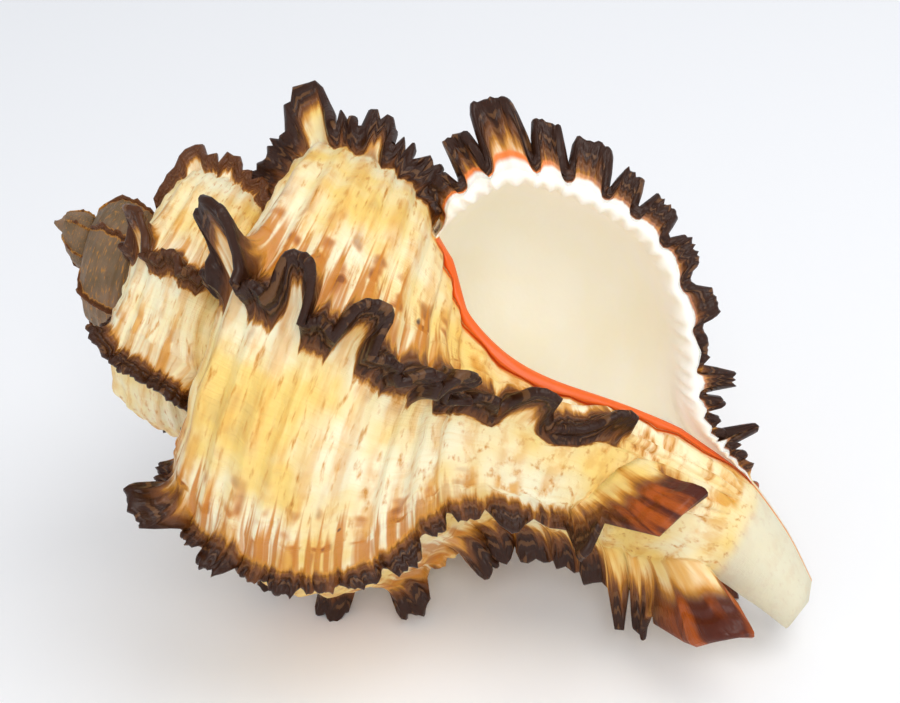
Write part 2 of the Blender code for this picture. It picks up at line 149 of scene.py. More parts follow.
# How the shell lies on the table
LIE = Euler([math.radians(a) for a in (-128.1, -47.7, -83.4)])
ORIGIN = Vector((-43.26, 12.42, 45.33))

# The fine grid: intervals between columns, and rows for each varix
SUTURE_INTERVALS = 144
NECK_INTERVALS = 80
CANAL_INTERVALS = 12
PLAIN_ROWS = 16
FRILL_ROWS = (
    [("back", share) for share in np.linspace(0.0, 1.0, 10)[:-1]]
    + [("rim", share) for share in (0.0, 0.25, 0.5, 0.75, 1.0)]
    + [("front", share) for share in np.linspace(1.0, 0.0, 9)[1:]])
LAST_ROW = PLAIN_ROWS + len(FRILL_ROWS) - 1
# Turn of a varix's first and last row where its frill has run out
BACK_DEGREES = -9.0
FRONT_DEGREES = 2.0
SEED = 7


def ease(x):
    """Smooth step from 0 to 1."""
    x = np.clip(x, 0.0, 1.0)
    return x * x * (3.0 - 2.0 * x)


def blend(a, b, share):
    return a + (b - a) * share


def catmull_rom(a, b, c, d, t):
    return 0.5 * (2.0 * b + (c - a) * t + (2.0 * a - 5.0 * b + 4.0 * c - d) * t * t
                  + (3.0 * b - a - 3.0 * c + d) * t ** 3)


def spline(values, s):
    """Catmull-Rom values at places s of a list with one value for each whole s."""
    values = np.asarray(values, float)
    last = len(values) - 1
    i = np.clip(np.floor(s).astype(int), 0, last - 1)
    return catmull_rom(values[np.maximum(0, i - 1)], values[i], values[i + 1],
                       values[np.minimum(last, i + 2)], s - i)


def radial_growth(n):
    waist = sum(share * np.exp(-((n - age) / spread) ** 2) for age, share, spread in WAISTS)
    return (1.0 - waist) * RADIAL_GROWTH ** -n * np.exp(-RADIAL_CURL * n * n)


def axial_growth(n):
    return AXIAL_GROWTH ** -n * np.exp(-AXIAL_CURL * n * n)


def lower_section(n, s):
    """Section at age n from the shoulder down, as radius and height."""
    radius = spline(SECTION_AT_LIP[:, 0], s)
    height = spline(SECTION_AT_LIP[:, 1], s)
    neck = ease((s - 4.5) / 3.0)
    growth = radial_growth(n)
    shoulder_height = SECTION_AT_LIP[SHOULDER, 1]
    small_radius = radius * growth ** (1.0 + NECK_SWELLING * neck)
    small_height = (shoulder_height * axial_growth(n)
                    + (height - shoulder_height) * growth ** (1.0 - NECK_SLOWING * neck))
    canal = ease((s - 5.6) / (WELD_S - 5.6))
    return blend(small_radius, radius, canal), blend(small_height, height, canal)


def section(n, s):
    """Section of the whorl at age n: above the shoulder it climbs onto the whorl before it."""
    n, s = np.broadcast_arrays(np.asarray(n, float), np.asarray(s, float))
    lower = lower_section(n, s)
    suture = lower_section(n + 1.0, np.full(s.shape, SUTURE_S))
    shoulder = lower_section(n, np.full(s.shape, float(SHOULDER)))
    below = lower_section(n, np.full(s.shape, SHOULDER + 1.0))
    middle = (blend(suture[0], shoulder[0], 0.5), blend(suture[1], shoulder[1], 0.12))
    result = []
    for i in range(2):
        near = catmull_rom(suture[i], suture[i], middle[i], shoulder[i], s)
        far = catmull_rom(suture[i], middle[i], shoulder[i], below[i], s - 1.0)
        upper = np.where(s < 1.0, near, far)
        result.append(np.where(s >= SHOULDER, lower[i], upper))
    return result[0], result[1]


def outward(n, s):
    """Unit direction away from the wall, in the plane of the section."""
    before = section(n, np.maximum(0.02, s) - 0.02)
    after = section(n, s + 0.02)
    dr, dz = after[0] - before[0], after[1] - before[1]
    size = np.hypot(dr, dz)
    return dz / size, -dr / size


def inner_lip_lead(s):
    return INNER_LIP_LEAD * np.exp(-((s - INNER_LIP_MIDDLE) / INNER_LIP_SPREAD) ** 2)


def place(n, s, raised=0.0, direction=None, slim=0.0):
    """Points of the wall at age n and places s, raised above it, in millimetres."""
    radius, z = section(n, s)
    slim = slim * ease((s - SUTURE_S) / 1.2)
    radius = radius * (1.0 - COLUMELLA_SLIMNESS * slim)
    dr, dz = outward(n, s) if direction is None else direction
    radius = radius + raised * dr
    z = z + raised * dz
    angle = LIP_ANGLE - 2.0 * math.pi * n
    side = 1.0 - slim
    x = radius * np.cos(angle) + side * spline(CANAL_BEND, s)
    y = radius * np.sin(angle) + side * spline(CANAL_SIDE, s)
    return np.stack([x, y, z], axis=-1)


def wave_noise(*coordinates, seed=0, octaves=3):
    """Smooth repeatable noise from -1 to 1, as a sum of sine waves that cross each other."""
    rng = random.Random(SEED * 101 + seed)
    total = 0.0
    weight = 0.0
    for octave in range(octaves):
        for _ in range(3):
            phase = rng.uniform(0.0, 2.0 * math.pi)
            turn = [rng.uniform(-1.0, 1.0) for _ in coordinates]
            turn[rng.randrange(len(turn))] = rng.choice((-1.0, 1.0))
            argument = phase
            for coordinate, share in zip(coordinates, turn):
                argument = argument + coordinate * share * 2.0 ** octave
            total = total + np.sin(argument) * 0.6 ** octave
            weight += 0.6 ** octave
    return total / weight * 1.4


# Columns of the grid, spaced evenly along the section

def even_places(start, end, intervals):
    fine = np.linspace(start, end, 400)
    r, z = section(0.0, fine)
    length = np.concatenate([[0.0], np.cumsum(np.hypot(np.diff(r), np.diff(z)))])
    return np.interp(np.linspace(0.0, length[-1], intervals + 1), length, fine)


PLACES = np.concatenate([
    even_places(0.0, SUTURE_S, SUTURE_INTERVALS),
    even_places(SUTURE_S, WELD_S, NECK_INTERVALS)[1:],
    even_places(WELD_S, TIP_S, CANAL_INTERVALS)[1:]])
PLACES[SUTURE_INTERVALS] = SUTURE_S
WELD_COLUMN = SUTURE_INTERVALS + NECK_INTERVALS
CORD_PLACES = np.array([c[0] for c in CORDS])
CORD_WIDTHS = np.array([c[1] for c in CORDS]) ** 0.7
CORD_BORDERS = np.concatenate([
    [0.5],
    blend(CORD_PLACES[:-1], CORD_PLACES[1:], CORD_WIDTHS[:-1] / (CORD_WIDTHS[:-1] + CORD_WIDTHS[1:])),
    [WELD_S]])


def cord_at(s):
    """Nearest cord of each place, and how far off its middle the place is, from -1 to 1."""
    cord = np.clip(np.searchsorted(CORD_BORDERS, s) - 1, 0, len(CORDS) - 1)
    off = s - CORD_PLACES[cord]
    half = np.where(off < 0.0, CORD_PLACES[cord] - CORD_BORDERS[cord],
                    CORD_BORDERS[cord + 1] - CORD_PLACES[cord])
    return cord, np.clip(off / half, -1.0, 1.0)


def frill_size(varix):
    """Size of a varix against the newest ones: the spire's are smaller and worn."""
    n = varix / VARICES_PER_WHORL
    worn = 1.0 - 0.8 * ease((n - 1.8) / 0.6)
    return float(worn * min(1.0, (radial_growth(n) / radial_growth(0.9)) ** 0.75))


def lobe_heights():
    """Height of each cord's lobe on each varix, with the unevenness of growth."""
    rng = random.Random(SEED)
    heights = {}
    for varix in range(OLDEST_VARIX + 2):
        row = []
        for s, share in CORDS:
            uneven = 1.0 + FRILL_UNEVENNESS * rng.uniform(-1.0, 1.0)
            uneven *= NECK_GAIN.get(varix, 1.0) if s > 5.0 else 1.0
            row.append(FRILL_HEIGHT * share * uneven * frill_size(varix))
        seen = SEEN_LOBES.get(varix, ())
        heights[varix] = np.array(list(seen) + row[len(seen):])
    return heights


LOBES = lobe_heights()


class Frill:
    """Shape of the frill of one varix over the places s."""

    def __init__(self, varix, s):
        self.varix = varix
        self.s = s
        size = self.size = frill_size(varix)
        top = SUTURE_S if varix >= VARICES_PER_WHORL else WELD_S
        cord, off = cord_at(s)
        half = np.where(off < 0.0, CORD_PLACES[cord] - CORD_BORDERS[cord],
                        CORD_BORDERS[cord + 1] - CORD_PLACES[cord])
        self.fade = ease(s / 0.7) * ease((top - s) / 0.35)
        lobe = LOBES[varix][cord]
        frond = np.zeros(s.shape)
        if varix in FRONDS:
            start, end, frond_height, frond_direction = FRONDS[varix]
            middle, reach = 0.5 * (start + end), 0.5 * (end - start)
            frond = (np.abs(s - middle) < reach) * 1.0
            off = np.where(frond > 0.0, (s - middle) / reach, off)
            half = np.where(frond > 0.0, reach, half)
            lobe = np.where(frond > 0.0, frond_height, lobe)
            self.fade = np.where(frond > 0.0, ease((WELD_S - s) / 0.12), self.fade)
        self.off = off
        self.frond = frond
        neck = ease((s - 4.9) / 0.7)
        tall = ease((lobe / size - 4.4) / 1.6) * (1.0 - frond)
        tall = tall * (BROAD_LOBE_POINT if varix in BROAD_LOBES else 1.0)
        uneven = wave_noise(s * 9.0, seed=varix, octaves=2)
        ragged = wave_noise(s * 37.0, seed=varix + 80, octaves=3)
        blunt = ease((0.93 + 0.08 * uneven - np.abs(off)) / 0.36)
        pointed = (0.5 + 0.5 * np.cos(math.pi * np.clip(off / 0.96, -1.0, 1.0))) ** 0.7
        web = blend(*WEBS.get(varix, WEB_HEIGHT), neck) * size
        web = np.minimum(web, 0.8 * lobe)
        bump = blend(blunt, pointed, 0.55 * tall)
        height = web + (lobe - web) * bump
        self.darkness = blend(WEB_DARKNESS.get(varix, 1.0), 1.0, bump * ease((lobe / size - 1.6) / 1.0))
        self.height = (height + np.minimum(0.3 * height, 0.75 * size) * ragged) * self.fade
        # Each lobe is a hood, open to the front, and the web between two lobes folds forward
        most = HOOD_DEPTHS.get(varix, HOOD_DEPTH)
        fold = WEB_FOLD * most / HOOD_DEPTH
        hood = np.clip(HOOD_GAIN * (lobe / size - HOOD_START), -0.8 * fold, most)
        hood = np.where(frond > 0.0, FROND_HOOD, hood)
        channel = np.clip(1.0 - np.abs(off) ** 2.6, 0.0, 1.0) ** 0.8
        self.lobe = ease((0.66 - np.abs(off)) / 0.3) * ease((hood - 0.4) / 1.2)
        ruffle = 0.22 * size * wave_noise(s * 14.0, seed=varix + 60, octaves=2)
        self.flute = (ruffle + size * blend(fold, -hood, channel)) * self.fade * (1.0 - 0.35 * neck)
        self.flute = self.flute * ease(height / (1.2 * size))
        # The arch of a hood widens as it rises, while a tall spine narrows
        widening = 0.20 * np.sin(math.pi * off) * ease(hood / 2.0)
        narrowing = off * (0.10 + 0.34 * tall + 0.22 * frond) * (1.0 - np.abs(off) ** 3)
        self.shift = half * (widening - narrowing) * self.fade
        dr, dz = outward(self.line(s), s)
        dz = dz - SPINE_TILT.get(varix, COMMON_TILT) * np.exp(-((s - 2.3) / 0.8) ** 2)
        dz = dz + 0.5 * ease((s - 5.4) / 1.2)
        if varix in FRONDS:
            dr = blend(dr, frond_direction[0], frond)
            dz = blend(dz, frond_direction[1], frond)
        length = np.hypot(dr, dz)
        self.direction = (dr / length, dz / length)

    def line(self, s):
        """Age of the varix at places s."""
        return self.varix / VARICES_PER_WHORL - drift_at(self.varix, s)

    def frame(self):
        """Direction of the frill's back, as it stands and as steps on the wall."""
        s, line = self.s, self.line(self.s)
        angle = LIP_ANGLE - 2.0 * math.pi * line
        dr, dz = self.direction
        up = np.stack([dr * np.cos(angle), dr * np.sin(angle), dz], axis=-1)
        along = unit(np.gradient(place(line, s), axis=0))
        behind = -unit(np.cross(along, up))
        ahead = np.stack([-np.sin(angle), np.cos(angle), np.zeros(len(s))], axis=-1)
        step = (place(line, s + 0.01) - place(line, s - 0.01)) / 0.02
        scale = np.linalg.norm(step, axis=-1)
        turned, slid = (behind * ahead).sum(axis=-1), (behind * step).sum(axis=-1) / scale
        whole = np.hypot(turned, slid)
        return up, behind, turned / whole, slid / whole / scale

    def feet(self):
        """Where the frill's back and front meet the wall: steps in age and in s."""
        _, _, turned, slid = self.frame()
        radius = np.maximum(section(self.line(self.s), self.s)[0], 3.0)
        back = BACK_FOOT * self.size * np.minimum(1.0, radius / 16.0) - 0.3 * self.flute
        front = -FRONT_FOOT * self.size - 0.6 * self.flute
        result = []
        for distance, degrees in ((back, BACK_DEGREES), (front, FRONT_DEGREES)):
            age = -distance * turned / radius / (2.0 * math.pi)
            result.append((blend(-degrees / 360.0, age, self.fade), self.fade * distance * slid))
        return result


def unit(vectors):
    return vectors / np.maximum(np.linalg.norm(vectors, axis=-1, keepdims=True), 1e-9)


def drift_at(varix, s):
    """How far a varix lies ahead of its even place, in whorls. At the neck it turns back."""
    top = SUTURE_S if varix >= VARICES_PER_WHORL else WELD_S
    drift = VARIX_DRIFT.get(varix, 0.0) * ease(s / 1.2) * ease((top - s) / 1.2)
    if varix in NECK_DRIFT:
        start, end, degrees = NECK_DRIFT[varix]
        drift = drift + degrees * ease((s - start) / (end - start))
    return drift / 360.0


def cord_relief(n, s):
    """Low spiral cords and the fine threads between them."""
    cord, off = cord_at(s)
    edge = ease(s / 0.4) * ease((WELD_S + 0.2 - s) / 0.8)
    size = float(min(1.0, radial_growth(n).mean() / 0.8))
    ridge = np.cos(math.pi * off)
    threads = np.cos(3.0 * math.pi * off)
    return CORD_RELIEF * size * edge * (0.8 * ridge + 0.12 * threads)


def plain_rows(varix, s):
    """Rows of the wall between the older varix and this one, with their ages and marks."""
    older, newer = Frill(varix + 1, s), Frill(varix, s)
    _, (older_age, older_slide) = older.feet()
    (newer_age, newer_slide), _ = newer.feet()
    start = older.line(s) + older_age
    if varix == VARICES_PER_WHORL - 1:
        start = start - np.where(s > SUTURE_S, inner_lip_lead(s), 0.0) / (2.0 * math.pi)
    end = newer.line(s) + newer_age
    edge = ease(s / 0.5) * ease((WELD_S - s) / 1.0)
    result = []
    for row in range(PLAIN_ROWS):
        share = (row + 1.0) / (PLAIN_ROWS + 1.0)
        n = blend(start, end, share)
        nodules = 0.28 * np.exp(-((share - 0.52) / 0.10) ** 2) * (0.5 + 0.5 * np.cos(math.pi * newer.off))
        folds = 0.10 * wave_noise(s * 0.8, np.full(s.shape, varix * 9.0 + share * 22.0), seed=5, octaves=2)
        raised = cord_relief(n, s) + edge * newer.size * (nodules + folds)
        raised = raised + SWELLING * newer.size * newer.fade * share ** 6
        raised = raised + FRONT_SWELLING * older.size * older.fade * (1.0 - share) ** 6
        slide = older_slide * (1.0 - share) ** 3 + newer_slide * share ** 3
        marks = marks_for(s, n, since=(start - n) * 360.0, before=(n - end) * 360.0)
        if varix == VARICES_PER_WHORL - 1:
            marks[:, MARKS.index("ribbon")] = ease((s - SUTURE_S + 0.3) / 0.4) * ease(
                1.0 - (start - n) * 360.0 / 9.0)
        result.append((place(n, s + slide, raised), marks))
    return result


def bezier(a, b, c, share):
    return (1.0 - share) ** 2 * a + 2.0 * share * (1.0 - share) * b + share ** 2 * c


def frill_rows(varix, s):
    """Rows over a varix: up its back, round its rim and down its front."""
    frill = Frill(varix, s)
    up, behind, _, _ = frill.frame()
    (back_age, back_slide), (front_age, front_slide) = frill.feet()
    line = frill.line(s)
    relief = cord_relief(line, s)
    height, fade, flute = frill.height[:, None], frill.fade, frill.flute[:, None]
    base = place(line, s) - behind * 0.45 * flute
    moved = s + frill.shift
    rim = place(frill.line(moved), moved, frill.height, frill.direction)
    rim = rim + behind * (BACKWARD_LEAN * height - flute)
    rise = unit(rim - base + 0.5 * up)
    sideways = np.gradient(rim, axis=0)
    sideways[1:-1] = 0.5 * sideways[1:-1] + 0.25 * (sideways[2:] + sideways[:-2])
    facing = -unit(np.cross(sideways, rise))
    half = 0.5 * FRILL_THICKNESS * frill.size ** 0.5 * (1.0 + 0.5 * frill.frond[:, None])
    half = half * (1.0 + 0.30 * wave_noise(s * 21.0, seed=varix + 40, octaves=3)[:, None])
    back_foot = place(line + back_age, s + back_slide, relief + SWELLING * frill.size * fade)
    front_foot = place(line + front_age, s + front_slide, relief + FRONT_SWELLING * frill.size * fade)
    ribs = 0.13 * np.cos(5.0 * math.pi * frill.off) * min(1.0, frill.size * 1.4)
    result = []
    for index, (face, share) in enumerate(FRILL_ROWS):
        if face == "back":
            middle = base + facing * half + rise * 0.35 * height
            points = bezier(back_foot, middle, rim + facing * half, share)
        elif face == "rim":
            turn = math.pi * share
            points = rim + half * (facing * math.cos(turn) + 0.9 * rise * math.sin(turn))
        else:
            middle = base - facing * half + rise * 0.30 * height
            points = bezier(front_foot, middle, rim - facing * half, share)
        side = {"back": 1.0, "rim": 0.0, "front": -1.0}[face]
        rough = wave_noise(s * 26.0, np.full(s.shape, share * 9.0 + side * 3.0), seed=varix + 3, octaves=3)
        uneven = (ribs + 0.14 * rough) * share * ease(frill.height)
        points = points + side * facing * uneven[:, None]
        turn_share = index / (len(FRILL_ROWS) - 1.0)
        n = line - blend(BACK_DEGREES, FRONT_DEGREES, turn_share) / 360.0
        if varix == VARICES_PER_WHORL and face == "front":
            n = n - np.where(s > SUTURE_S, inner_lip_lead(s), 0.0) / (2.0 * math.pi) * (1.0 - share) ** 2
        natural = place(n, s, relief)
        points = natural + (points - natural) * fade[:, None]
        distance = np.maximum(np.linalg.norm(points - rim, axis=-1) - half.ravel(), 0.0)
        reach = np.clip(1.15 * frill.height, 2.2, 6.0)
        if face == "front" and varix:
            reach = blend(1.5 * frill.height + 1.5, 3.6, frill.lobe)
        dark = 1.25 * np.clip(1.0 - distance / reach / max(frill.size, 0.3), 0.0, 1.0)
        dark = dark * fade * ease(frill.height / max(1.2 * frill.size, 0.3)) * frill.darkness
        marks = marks_for(s, n, since=30.0 + 30.0 * side, before=30.0 - 30.0 * side, rise=dark,
                          frond=frill.frond)
        if varix == 0 and face == "front":
            marks[:, MARKS.index("edge")] = ease(1.0 - share * 2.2)
        result.append((points, marks))
    return result


class Skin:
    """Points, faces and growth marks of the shell while it is put together."""

    def __init__(self):
        self.points = []
        self.marks = []
        self.faces = []
        self.count = 0

    def add(self, points, marks):
        """Adds points with their marks, and returns their numbers."""
        self.points.append(points)
        self.marks.append(marks)
        numbers = np.arange(self.count, self.count + len(points))
        self.count += len(points)
        return numbers

    def band(self, first, second):
        """Faces between two rows, also where the second has half or twice the first's columns."""
        if len(first) == len(second):
            for j in range(len(first) - 1):
                self.face(first[j], first[j + 1], second[j + 1], second[j])
        elif len(first) > len(second):
            for j in range(len(second) - 1):
                self.face(first[2 * j], first[2 * j + 1], second[j])
                self.face(first[2 * j + 1], second[j + 1], second[j])
                self.face(first[2 * j + 1], first[2 * j + 2], second[j + 1])

    def face(self, *corners):
        kept = [int(c) for i, c in enumerate(corners) if c not in corners[:i]]
        if len(kept) > 2:
            self.faces.append(kept)

    def fan(self, ring, centre):
        for j in range(len(ring)):
            self.face(ring[j], ring[(j + 1) % len(ring)], centre)


# Marks of each point: growth degrees, cord phase, age, degrees since and before a frill, darkness of a
# frill towards its rim, frond, inside of the mouth, ribbon of the inner lip, edge of the outer lip
MARKS = ("turn", "phase", "age", "since", "before", "rise", "frond", "inside", "ribbon", "edge")


def marks_for(s, n, **given):
    cord, off = cord_at(s)
    marks = np.zeros((len(s), len(MARKS)))
    marks[:, 0] = -360.0 * n
    marks[:, 1] = cord + 0.5 * off + np.maximum(0.0, s - WELD_S) * 2.0
    marks[:, 2] = n
    marks[:, 3:5] = 60.0
    for name, value in given.items():
        marks[:, MARKS.index(name)] = value
    return marks


def column_step(varix):
    """The spire's small whorls have fewer columns."""
    whorl = varix // VARICES_PER_WHORL
    return 2 ** min(3, whorl)


def outer_wall(skin):
    """Rows of the outer wall, oldest first. Neighbouring whorls share the points of their suture."""
    rows = {}
    inner_lip = (VARICES_PER_WHORL, LAST_ROW)
    before = None
    for varix in range(OLDEST_VARIX, -1, -1):
        whole = varix < VARICES_PER_WHORL
        places = PLACES if whole else PLACES[:SUTURE_INTERVALS + 1:column_step(varix)]
        lines = plain_rows(varix, places) + frill_rows(varix, places)
        if varix == VARICES_PER_WHORL:
            lines[-1] = frill_rows(varix, PLACES)[-1]
        for row, (points, marks) in enumerate(lines):
            numbers = skin.add(points * MM, marks)
            older = rows.get((varix + VARICES_PER_WHORL, row))
            if older is not None:
                numbers[0] = older[-1] if len(older) <= SUTURE_INTERVALS + 1 else older[SUTURE_INTERVALS]
            if (varix, row) == (0, LAST_ROW):
                numbers[WELD_COLUMN:] = rows[inner_lip][WELD_COLUMN:]
            rows[varix, row] = numbers
            if before is not None:
                shared = SUTURE_INTERVALS + 1 if (varix, row) == inner_lip else len(numbers)
                skin.band(numbers[:shared], before)
            before = numbers
    return rows


def close_ends(skin, rows):
    """Worn tip of the spire and rounded tip of the canal."""
    order = list(rows)
    first_whorl = [key for key in order if key[0] > OLDEST_VARIX - VARICES_PER_WHORL]
    ring = [rows[key][0] for key in first_whorl] + list(rows[order[0]][:0:-1])
    age = OLDEST_VARIX / VARICES_PER_WHORL
    tip = skin.add(np.array([[0.0, 0.0, APEX_HEIGHT]]) * MM, marks_for(np.array([1.0]), np.array([age])))
    skin.fan(ring[::-1], tip[0])
    last_whorl = order[order.index((VARICES_PER_WHORL, LAST_ROW)):-1]
    end = [rows[key][-1] for key in last_whorl]
    points = np.concatenate(skin.points)
    centre = points[end].mean(axis=0) + np.array([0.0, 0.0, 0.8]) * MM
    skin.fan(end, skin.add(centre[None], marks_for(np.array([TIP_S]), np.array([0.5])))[0])


def mouth_ring(degrees, outer_places, inner_places):
    """Closed ring of points inside the mouth, in one plane through the coiling axis."""
    n = -degrees / 360.0
    depth = float(np.interp(-degrees, [-d for d in MOUTH_DEPTHS], range(len(MOUTH_DEPTHS))))
    end = WELD_S - (WELD_S - INSIDE_END_S) * ease(depth / 3.0)
    squeeze = (end - NARROWING_S) / (WELD_S - NARROWING_S)
    outer_s, inner_s = (
        np.where(s < NARROWING_S, s, NARROWING_S + (s - NARROWING_S) * squeeze)
        for s in (outer_places, inner_places))
    lead = float(np.interp(depth, range(len(LEAD_INSIDE)), LEAD_INSIDE)) / (2.0 * math.pi)
    slim = float(ease(depth / 3.0))
    inner_n = n + 1.0 - lead * inner_lip_lead(inner_s)
    outer_skin = place(n, outer_s)
    inner_skin = place(inner_n, inner_s, slim=slim)
    gaps = np.linalg.norm(outer_skin[:, None] - inner_skin[None], axis=-1)
    wall = RIM + (WALL - RIM) * min(1.0, depth)
    scallop = SCALLOP_DEPTH * np.cos(2.0 * math.pi * cord_at(outer_s)[1]) * math.exp(-depth / 0.7)
    outer_inset = -np.minimum(wall + scallop, LINING_SHARE * gaps.min(axis=1))
    inner_inset = np.minimum(CALLUS, LINING_SHARE * gaps.min(axis=0))
    outer_ring = place(n, outer_s, outer_inset)
    inner_ring = place(inner_n, inner_s, inner_inset, slim=slim)
    suture = 0.5 * (outer_ring[0] + inner_ring[-1])
    front = 0.5 * (outer_ring[-1] + inner_ring[0])
    suture = suture + 0.04 * (place(n, np.array([0.0]))[0] - suture)
    return np.concatenate([suture[None], outer_ring, front[None], inner_ring]), depth


def mouth(skin, rows):
    """Inside of the mouth, back from the lip for most of a whorl."""
    lip = rows[0, LAST_ROW][:WELD_COLUMN + 1]
    inner_lip = rows[VARICES_PER_WHORL, LAST_ROW][SUTURE_INTERVALS + 1:WELD_COLUMN]
    ring = np.concatenate([lip, inner_lip[::-1]])
    outer_places = PLACES[1:WELD_COLUMN]
    inner_places = PLACES[WELD_COLUMN - 1:SUTURE_INTERVALS:-1]
    ring_places = np.concatenate([[0.0], outer_places, [WELD_S], inner_places])
    on_inner = np.concatenate([np.zeros(WELD_COLUMN + 1), np.ones(len(inner_places))])
    start = np.concatenate(skin.points)[ring]
    first, depth = mouth_ring(MOUTH_DEPTHS[0], outer_places, inner_places)
    angle = np.arctan2(start[:, 1], start[:, 0])
    ahead = np.stack([-np.sin(angle), np.cos(angle), np.zeros(len(angle))], axis=-1)
    bulge = (0.55 + 0.25 * on_inner) * MM
    layers = []
    for share in (0.2, 0.45, 0.72):
        points = blend(start, first * MM, share) + ahead * (bulge * math.sin(math.pi * share))[:, None]
        layers.append((points, 1.0 - share, -0.4 + 0.4 * share))
    near = np.linspace(MOUTH_DEPTHS[0], MOUTH_DEPTHS[2], 9)
    far = near[-1] + (MOUTH_DEPTHS[-1] - near[-1]) * np.linspace(0.0, 1.0, 21)[1:] ** 1.15
    for angle_back in np.concatenate([near, far]):
        points, depth = mouth_ring(angle_back, outer_places, inner_places)
        layers.append((points * MM, 0.0, depth))
    for points, lip_share, depth in layers:
        inside = skin.add(points, marks_for(ring_places, np.full(len(ring_places), 0.0),
                                            inside=1.0 + max(depth, 0.0),
                                            ribbon=on_inner * np.clip(1.0 - depth * 0.9, 0.0, 1.0),
                                            edge=(1.0 - on_inner) * lip_share))
        closed = np.append(inside, inside[0])
        skin.band(closed, np.append(ring, ring[0]))
        ring = inside
    centre = np.concatenate(skin.points)[ring].mean(axis=0)
    skin.fan(ring[::-1], skin.add(centre[None], marks_for(np.array([3.0]), np.array([0.6]), inside=9.0))[0])


def make_shell(material):
    skin = Skin()
    rows = outer_wall(skin)
    close_ends(skin, rows)
    mouth(skin, rows)
    points = np.concatenate(skin.points)
    marks = np.concatenate(skin.marks)
    used = np.unique(np.concatenate([np.array(face) for face in skin.faces]))
    renumbered = np.full(len(points), -1)
    renumbered[used] = np.arange(len(used))
    turn = np.array(LIE.to_matrix())
    points = points[used] @ turn.T + np.array(ORIGIN) * MM
    points[:, 2] = np.maximum(points[:, 2], 0.0)
    mesh = bpy.data.meshes.new("shell_surface")
    mesh.from_pydata(points.tolist(), [], [renumbered[face].tolist() for face in skin.faces])
    mesh.validate()
    mesh.shade_smooth()
    for i, name in enumerate(MARKS):
        attribute = mesh.attributes.new(name, "FLOAT", "POINT")
        attribute.data.foreach_set("value", marks[used, i].astype(np.float32))
    mesh.materials.append(material)
    shell = bpy.data.objects.new("shell_surface", mesh)
    bpy.context.scene.collection.objects.link(shell)
    return shell


def colour(red, green, blue):
    """Linear colour from the 0 to 255 values that a screen shows."""
    linear = [((v / 255.0 + 0.055) / 1.055) ** 2.4 if v > 10 else v / 255.0 / 12.92
              for v in (red, green, blue)]
    return (*linear, 1.0)


class Nodes:
    """Short calls for the nodes of one material."""

    def __init__(self, tree):
        self.tree = tree

    def new(self, kind, **settings):
        node = self.tree.nodes.new(kind)
        for name, value in settings.items():
            setattr(node, name, value)
        return node

    def feed(self, socket, value):
        if isinstance(value, bpy.types.NodeSocket):
            self.tree.links.new(value, socket)
        else:
            socket.default_value = value

    def mark(self, name):
        return self.new("ShaderNodeAttribute", attribute_name=name).outputs["Fac"]

    def math(self, operation, *values, clamp=False):
        node = self.new("ShaderNodeMath", operation=operation, use_clamp=clamp)
        for socket, value in zip(node.inputs, values):
            self.feed(socket, value)
        return node.outputs[0]

    def step(self, value, low, high):
        """Smooth step of a value from low to high."""
        node = self.new("ShaderNodeMapRange", interpolation_type="SMOOTHSTEP")
        self.feed(node.inputs["Value"], value)
        self.feed(node.inputs["From Min"], low)
        self.feed(node.inputs["From Max"], high)
        return node.outputs["Result"]

    def mix(self, share, a, b):
        node = self.new("ShaderNodeMix", data_type="RGBA", clamp_factor=True)
        self.feed(node.inputs["Factor"], share)
        self.feed(node.inputs["A"], a)
        self.feed(node.inputs["B"], b)
        return node.outputs["Result"]

    def vector(self, x, y, z=0.0):
        node = self.new("ShaderNodeCombineXYZ")
        for socket, value in zip(node.inputs, (x, y, z)):
            self.feed(socket, value)
        return node.outputs[0]

    def noise(self, vector, scale=1.0, detail=3.0, roughness=0.55):
        node = self.new("ShaderNodeTexNoise")
        self.feed(node.inputs["Vector"], vector)
        node.inputs["Scale"].default_value = scale
        node.inputs["Detail"].default_value = detail
        node.inputs["Roughness"].default_value = roughness
        return node.outputs["Fac"]


